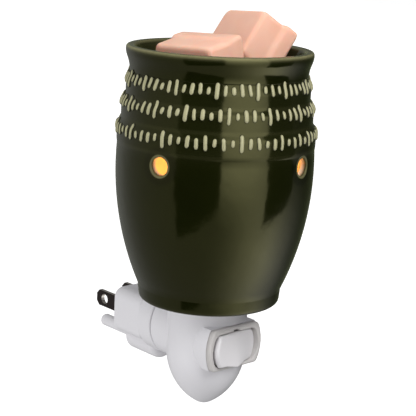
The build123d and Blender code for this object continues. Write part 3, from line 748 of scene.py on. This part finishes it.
# Wax melts
# Two peach wax cubes snapped from a moulded bar: a slab with the tapered block of its mould.
# Handling has rounded their edges, and the lit wax lets some light through.
wax_long = 28.4 * mm
wax_short = 20.6 * mm
wax_slab = 6.6 * mm
wax_block = 10.1 * mm
wax_step = 0.8 * mm
wax_slope = 0.9 * mm
wax_taper = 0.3 * mm
wax_edge = 1.6 * mm
wax_step_round = 0.8 * mm
wax_end_round = 1.8 * mm
wax_corner_steps = 6
wax_unevenness = 0.25 * mm
wax_waves = 7 * mm
# Noise vectors start from the clock, and this seed keeps the melts the same on each run.
noise.seed_set(7)


def rounded_loop(inset):
    """Points round the melt's outline, drawn in by an inset."""
    half_long, half_short = wax_long / 2 - inset, wax_short / 2 - inset
    corner = min(wax_edge + inset / 2, half_short)
    points = []
    for quarter, (x_side, y_side) in enumerate(((1, 1), (-1, 1), (-1, -1), (1, -1))):
        for step in range(wax_corner_steps + 1):
            turn = math.pi / 2 * (quarter + step / wax_corner_steps)
            x = x_side * (half_long - corner) + corner * math.cos(turn)
            points.append((x, y_side * (half_short - corner) + corner * math.sin(turn)))
    return points


def melt(name, place, body, node):
    """One melt at a place whose Z runs from its slab to its narrow end."""
    profile = softened(
        [
            (wax_short / 2, -wax_slab, 0),
            (0, -wax_slab, wax_edge),
            (0, -wax_slope, wax_step_round),
            (wax_step, wax_slope, wax_step_round),
            (wax_step + wax_taper, wax_block, wax_end_round),
            (wax_short / 2, wax_block, 0),
        ]
    )
    bm = bmesh.new()
    loops = [[(0, 0, -wax_slab)]]
    for inset, height in profile[1:-1]:
        loops.append([(x, y, height) for x, y in rounded_loop(inset)])
    loops.append([(0, 0, wax_block)])
    bridge(bm, loops)
    bmesh.ops.transform(bm, matrix=place, verts=bm.verts)
    for vertex in bm.verts:
        vertex.co += wax_unevenness * noise.noise_vector(vertex.co / wax_waves)
    piece = finished(name, bm, wax.material)
    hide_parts(node)
    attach(piece, body)


def laid(x, y, height, long_way, axis_way):
    """A place in the dish with its X along the melt and its Z along the block."""
    z = Vector(axis_way).normalized()
    x_way = (Vector(long_way) - Vector(long_way).dot(z) * z).normalized()
    turned = Matrix((x_way, z.cross(x_way), z)).transposed().to_4x4()
    return Matrix.Translation((x * mm, axis_y + y * mm, foot_z + height * mm)) @ turned


wax = Finish("peach_wax")
wax_clouds = wax.cloud(6 * mm)
wax.set(Base_Color=wax.tint(wax_clouds, rgb(0.77, 0.43, 0.31), rgb(0.81, 0.51, 0.39)))
wax.set(Roughness=0.30 + 0.15 * wax_clouds, Subsurface_Weight=0.55, Subsurface_Scale=3 * mm)
wax.set(Subsurface_Radius=(1.0, 0.5, 0.3))
wax.relief(wax.cloud(3 * mm), 0.08 * mm)
front_place = laid(-10.45, -2.7, 86.4, (0.122, -0.992, 0.041), (-0.976, -0.128, -0.174))
back_place = laid(15.6, 0.21, 92.0, (-0.185, -0.981, 0.056), (-0.795, 0.183, 0.578))
melt("wax_cube_front", front_place, "wax_front", "wax_melt_front")
melt("wax_cube_back", back_place, "wax_back", "wax_melt_back")

# Floor, light and camera
# A pale floor well below the hanging warmer, a soft white room and two broad lights. The
# gloss sees a softbox to the right of the camera and a dark screen on each side of it.
camera_turn = math.radians(42.54)
camera_away = 453.3 * mm
camera_height = 151.8 * mm
camera_pitch = math.radians(12.97)
camera_pan = math.radians(-0.21)
camera_roll = math.radians(2.77)
camera_sensor = 36.0
camera_lens = 110.2
floor_z = -350 * mm
floor_size = 12.0

floor_bm = bmesh.new()
bmesh.ops.create_grid(floor_bm, x_segments=1, y_segments=1, size=floor_size / 2)
paper_glow = {"Emission_Color": rgb(1.0, 1.0, 1.0), "Emission_Strength": 0.6}
paper_low, paper_high = (0.90, 0.90, 0.90), (0.92, 0.92, 0.92)
paper = mottled("floor_paper", paper_low, paper_high, 0.8, 80 * mm, 0.1 * mm, **paper_glow)
floor = finished("floor", floor_bm, paper)
floor.location = (0, 0, floor_z)
floor.visible_glossy = False
floor.visible_diffuse = False


def facing(turn):
    """The level direction at a turn to the right of the camera's, seen from the shade."""
    angle = math.radians(turn)
    back = Vector((-math.sin(camera_turn), -math.cos(camera_turn), 0))
    right = Vector((math.cos(camera_turn), -math.sin(camera_turn), 0))
    return math.cos(angle) * back + math.sin(angle) * right


def screen(name, turn, half_turn, low_left, low_right, colour):
    """An upright card beside the camera with a slanted foot, which only reflections see."""
    out = facing(turn)
    right = Vector((0, 0, 1)).cross(out)
    half_width = screen_away * math.tan(math.radians(half_turn))
    bm = bmesh.new()
    corners = [(-half_width, low_left), (half_width, low_right)]
    corners += [(half_width, screen_top), (-half_width, screen_top)]
    spots = [screen_away * out + across * right + Vector((0, axis_y, up)) for across, up in corners]
    bm.faces.new([bm.verts.new(spot) for spot in spots])
    card = finished(name, bm, mottled(name, colour, colour, 0.9, 50 * mm, 0.1 * mm))
    card.visible_camera = False
    card.visible_diffuse = False
    return card


screen_away = 400 * mm
screen_top = 500 * mm
left_flag = screen("left_flag", -18.5, 25, -225 * mm, -112 * mm, (0.01, 0.01, 0.01))
right_flag = screen("right_flag", 79.5, 18.5, -150 * mm, -55 * mm, (0.02, 0.02, 0.02))


def panel(name, turn, lift, away, width, height, radiance):
    """A flat light aimed at the shade, which no camera or gloss sees."""
    light = bpy.data.lights.new(name, "AREA")
    light.shape = "RECTANGLE"
    light.size, light.size_y = width, height
    light.energy = radiance * math.pi * width * height
    out = (facing(turn) + Vector((0, 0, math.tan(math.radians(lift))))).normalized()
    piece = bpy.data.objects.new(name, light)
    piece.location = Vector((0, axis_y, light_aim)) + away * out
    piece.rotation_euler = out.to_track_quat("Z", "Y").to_euler()
    piece.visible_camera = False
    piece.visible_glossy = False
    bpy.context.scene.collection.objects.link(piece)


light_aim = 50 * mm
panel("low_fill", -60, -12, 600 * mm, 500 * mm, 500 * mm, 1.3)
panel("high_key", 42, 46, 600 * mm, 450 * mm, 450 * mm, 6.0)

world = bpy.data.worlds.new("room")
bpy.context.scene.world = world
world.use_nodes = True
room = Nodes(world.node_tree)
way = room.node("ShaderNodeTexCoord").outputs["Generated"]


def toward(turn, lift):
    """How nearly a direction of the room points to a turn and a lift, from 0 to 1."""
    aim = (facing(turn) + Vector((0, 0, math.tan(math.radians(lift))))).normalized()
    pair = {0: way, 1: aim}
    return room.number("ShaderNodeVectorMath", "Value", {"operation": "DOT_PRODUCT"}, pair).held()


path = room.node("ShaderNodeLightPath")
seen = Mask(room.tree, path.outputs["Is Camera Ray"])
mirrored = Mask(room.tree, path.outputs["Is Glossy Ray"])
below_slope = 2.2
below_start = 0.3
softbox_edge = 0.62
softbox_slope = 3.3
softbox_gain = 1.9
glow_gain = 2.0
room_gloss = 0.33
room_gloss_drop = 0.32
room_soft = 0.80
room_soft_drop = 0.62
below = (room.number("ShaderNodeSeparateXYZ", "Z", {}, {0: way}) * -below_slope - below_start).held()
low_side = toward(80, -25) * toward(80, -25)
floor_glow = low_side * low_side * (1 - toward(170, 0)) * below
softbox = ((toward(35, 15) - softbox_edge) * softbox_slope).held()
gloss_light = room_gloss - room_gloss_drop * toward(135, 0) + glow_gain * floor_glow
gloss_light = gloss_light + softbox_gain * softbox * (1 - below)
soft_light = room_soft - room_soft_drop * toward(80, 0)
lit = seen + (1 - seen) * (mirrored * gloss_light + (1 - mirrored) * soft_light)
background = world.node_tree.nodes["Background"]
room.fill(background.inputs["Color"], rgb(1.0, 1.0, 1.0))
room.fill(background.inputs["Strength"], lit)

camera_data = bpy.data.cameras.new("camera")
camera_data.sensor_width = camera_sensor
camera_data.lens = camera_lens
camera = bpy.data.objects.new("camera", camera_data)
camera.location = Vector((0, axis_y, camera_height)) + camera_away * facing(0)
view_turn = camera_turn + camera_pan
ahead = Vector((math.sin(view_turn), math.cos(view_turn), -math.tan(camera_pitch)))
level = ahead.to_track_quat("-Z", "Y")
camera.rotation_euler = (level @ Quaternion((0, 0, 1), camera_roll)).to_euler()
bpy.context.scene.collection.objects.link(camera)
bpy.context.scene.camera = camera
bpy.context.scene.view_settings.view_transform = "Standard"
